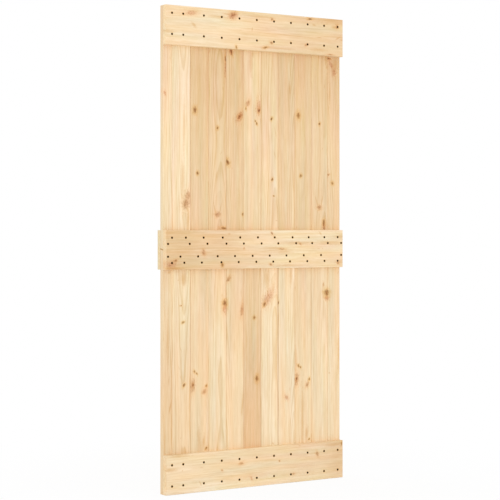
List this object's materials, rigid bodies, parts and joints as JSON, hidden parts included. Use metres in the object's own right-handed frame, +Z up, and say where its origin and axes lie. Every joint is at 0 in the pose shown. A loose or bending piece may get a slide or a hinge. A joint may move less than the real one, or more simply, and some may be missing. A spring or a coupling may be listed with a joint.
{
  "type": "barn door leaf",
  "caption": "Ledged barn door leaf: upright tongue-and-groove pine boards screwed to flat cross ledgers, hung by its top ledger to close a doorway.",
  "frame": {"origin": "middle of the bottom edge, in the mid-plane of the boards", "axes": "+X along the width from left to right as seen from the front, +Y towards the back, +Z up"},
  "size_m": [0.9, 0.075, 2.04],
  "materials": {
    "board_pine": "planed bare pine with knots, matte",
    "ledger_pine": "planed bare pine with knots, matte",
    "screw_black": "black coated steel, satin"
  },
  "bodies": {
    "root": {"board_01": "board_pine", "board_02": "board_pine", "board_03": "board_pine", "board_04": "board_pine", "board_05": "board_pine", "board_06": "board_pine", "board_07": "board_pine", "board_08": "board_pine", "board_09": "board_pine", "board_10": "board_pine", "board_11": "board_pine", "top_ledger": "ledger_pine", "middle_ledger": "ledger_pine", "bottom_ledger": "ledger_pine", "back_ledger": "ledger_pine", "top_screws_upper": "screw_black", "top_screws_lower": "screw_black", "middle_screws_upper_short": "screw_black", "middle_screws_upper_long": "screw_black", "middle_screws_lower_long": "screw_black", "middle_screws_lower_short": "screw_black", "bottom_screws_upper": "screw_black", "bottom_screws_lower": "screw_black"}
  },
  "joints": []
}
